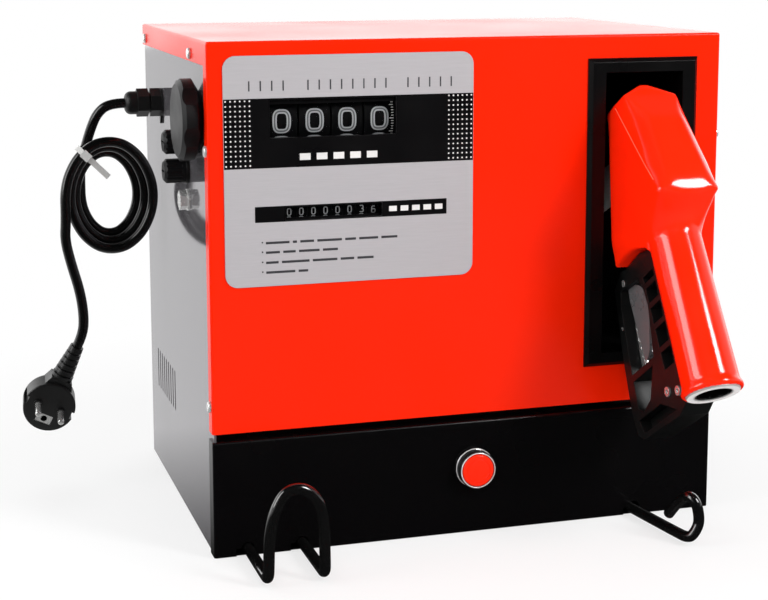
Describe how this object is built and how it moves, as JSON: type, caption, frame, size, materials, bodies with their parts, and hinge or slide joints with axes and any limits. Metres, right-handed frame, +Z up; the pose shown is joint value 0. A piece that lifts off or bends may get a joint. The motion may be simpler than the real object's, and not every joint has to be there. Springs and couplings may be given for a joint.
{
  "type": "diesel transfer pump with counter and nozzle",
  "caption": "Cabinet fuel pump: sheet-steel box with mechanical counter and reset knob, push button, side cord, hose hooks and a nozzle hanging in a holster.",
  "frame": {"origin": "centre of the underside of the base tray", "axes": "+X to the viewer's right, +Y to the back, +Z up"},
  "size_m": [0.5085, 0.4342, 0.368],
  "materials": {
    "red_paint": "gloss",
    "black_paint": "semi-gloss",
    "grey_paint": "semi-gloss",
    "zinc_steel": "satin",
    "plate_steel": "satin",
    "chrome": "polished",
    "nickel": "satin",
    "alloy": "satin",
    "cast": "painted",
    "black_plastic": "fine grain",
    "dark_plastic": "fine grain",
    "drum_plastic": "matte",
    "red_plastic": "satin",
    "red_button": "gloss",
    "clear": "clear",
    "cord_rubber": "matte",
    "black_rubber": "matte",
    "copper": "satin",
    "bright_steel": "bright"
  },
  "bodies": {
    "cabinet": {"front_cover": "red_paint", "lower_front": "black_paint", "base_tray": "black_paint", "left_side_panel": "grey_paint", "right_side_panel": "grey_paint", "back_panel": "grey_paint", "cover_screws": "zinc_steel", "face_plate": "plate_steel", "counter_lens": "clear", "counter_frame": "black_plastic", "total_shaft": "bright_steel", "gland_washer": "zinc_steel", "gland_body": "nickel", "gland_cap": "nickel", "gland_locknut": "nickel", "fuse_holders": "black_plastic", "fuse_caps": "black_plastic", "earth_bolt": "zinc_steel", "button_bezel": "chrome", "button_collar": "black_plastic", "button_ring": "chrome", "button_nut": "zinc_steel", "switch_block": "black_plastic", "holster": "black_plastic", "left_hose_hook": "black_paint", "right_hose_hook": "black_paint", "motor_housing": "cast", "fan_cowl": "black_paint", "terminal_box": "dark_plastic", "pump_housing": "cast", "pump_cover": "cast", "meter_body": "alloy", "hose_ports": "alloy", "fuel_pipes": "copper", "cord_lead": "cord_rubber", "cord_coil": "cord_rubber", "cord_tail": "cord_rubber", "cable_tie": "dark_plastic", "plug_strain_relief": "black_rubber", "plug_body": "black_rubber", "plug_contacts": "bright_steel"},
    "reset": {"reset_knob": "black_plastic", "reset_shaft": "bright_steel"},
    "wheel_1": {"subtotal_wheel_1": "drum_plastic"},
    "wheel_2": {"subtotal_wheel_2": "drum_plastic"},
    "wheel_3": {"subtotal_wheel_3": "drum_plastic"},
    "wheel_4": {"subtotal_wheel_4": "drum_plastic"},
    "total_units": {"total_units_wheel": "drum_plastic"},
    "total_upper": {"total_upper_wheels": "drum_plastic"},
    "rotor": {"motor_shaft": "bright_steel", "pump_rotor": "bright_steel"},
    "button": {"button_cap": "red_button"},
    "nozzle": {"nozzle_body": "alloy", "nozzle_cover": "red_plastic", "nozzle_spout": "alloy", "lever_guard": "dark_plastic", "nozzle_pins": "bright_steel", "guard_screws": "bright_steel"},
    "lever": {"trigger_lever": "alloy"},
    "latch": {"hold_latch": "bright_steel"}
  },
  "joints": [
    {"name": "reset_turn", "type": "hinge", "parent": "cabinet", "child": "reset", "pos_m": [-0.1053, -0.1023, 0.3113], "axis": [-1, 0, 0], "continuous": true},
    {"name": "digit_4_turn", "type": "hinge", "parent": "cabinet", "child": "wheel_4", "pos_m": [-0.1053, -0.1023, 0.3113], "axis": [1, 0, 0], "continuous": true},
    {"name": "digit_3_turn", "type": "hinge", "parent": "cabinet", "child": "wheel_3", "pos_m": [-0.1053, -0.1023, 0.3113], "axis": [1, 0, 0], "continuous": true},
    {"name": "digit_2_turn", "type": "hinge", "parent": "cabinet", "child": "wheel_2", "pos_m": [-0.1053, -0.1023, 0.3113], "axis": [1, 0, 0], "continuous": true},
    {"name": "digit_1_turn", "type": "hinge", "parent": "cabinet", "child": "wheel_1", "pos_m": [-0.1053, -0.1023, 0.3113], "axis": [1, 0, 0], "continuous": true},
    {"name": "total_units_turn", "type": "hinge", "parent": "cabinet", "child": "total_units", "pos_m": [-0.1053, -0.1233, 0.247], "axis": [1, 0, 0], "continuous": true},
    {"name": "total_upper_turn", "type": "hinge", "parent": "cabinet", "child": "total_upper", "pos_m": [-0.1053, -0.1233, 0.247], "axis": [1, 0, 0], "continuous": true},
    {"name": "motor_turn", "type": "hinge", "parent": "cabinet", "child": "rotor", "pos_m": [-0.1, 0.062, 0.08], "axis": [1, 0, 0], "continuous": true},
    {"name": "button_press", "type": "slide", "parent": "cabinet", "child": "button", "axis": [0, 1, 0], "range_m": [0, 0.003], "stiffness_N_per_m": 400, "springref_m": -0.001},
    {"name": "nozzle_lift", "type": "slide", "parent": "cabinet", "child": "nozzle", "axis": [0, -0.9063, 0.4226], "range_m": [0, 0.17]},
    {"name": "lever_squeeze", "type": "hinge", "parent": "nozzle", "child": "lever", "pos_m": [0.1285, -0.14469, 0.18232], "axis": [-1, 0, 0], "range_deg": [0, 9], "stiffness_Nm_per_rad": 1.5, "springref_deg": -17.19},
    {"name": "latch_swing", "type": "hinge", "parent": "nozzle", "child": "latch", "pos_m": [0.1285, -0.14344, 0.14752], "axis": [-1, 0, 0], "range_deg": [0, 14]}
  ],
  "couplings": [
    {"joint": "digit_3_turn", "follows": "digit_4_turn", "ratio": 0.1},
    {"joint": "digit_2_turn", "follows": "digit_4_turn", "ratio": 0.01},
    {"joint": "digit_1_turn", "follows": "digit_4_turn", "ratio": 0.001},
    {"joint": "total_units_turn", "follows": "digit_4_turn", "ratio": 0.1},
    {"joint": "total_upper_turn", "follows": "digit_4_turn", "ratio": 0.01}
  ]
}
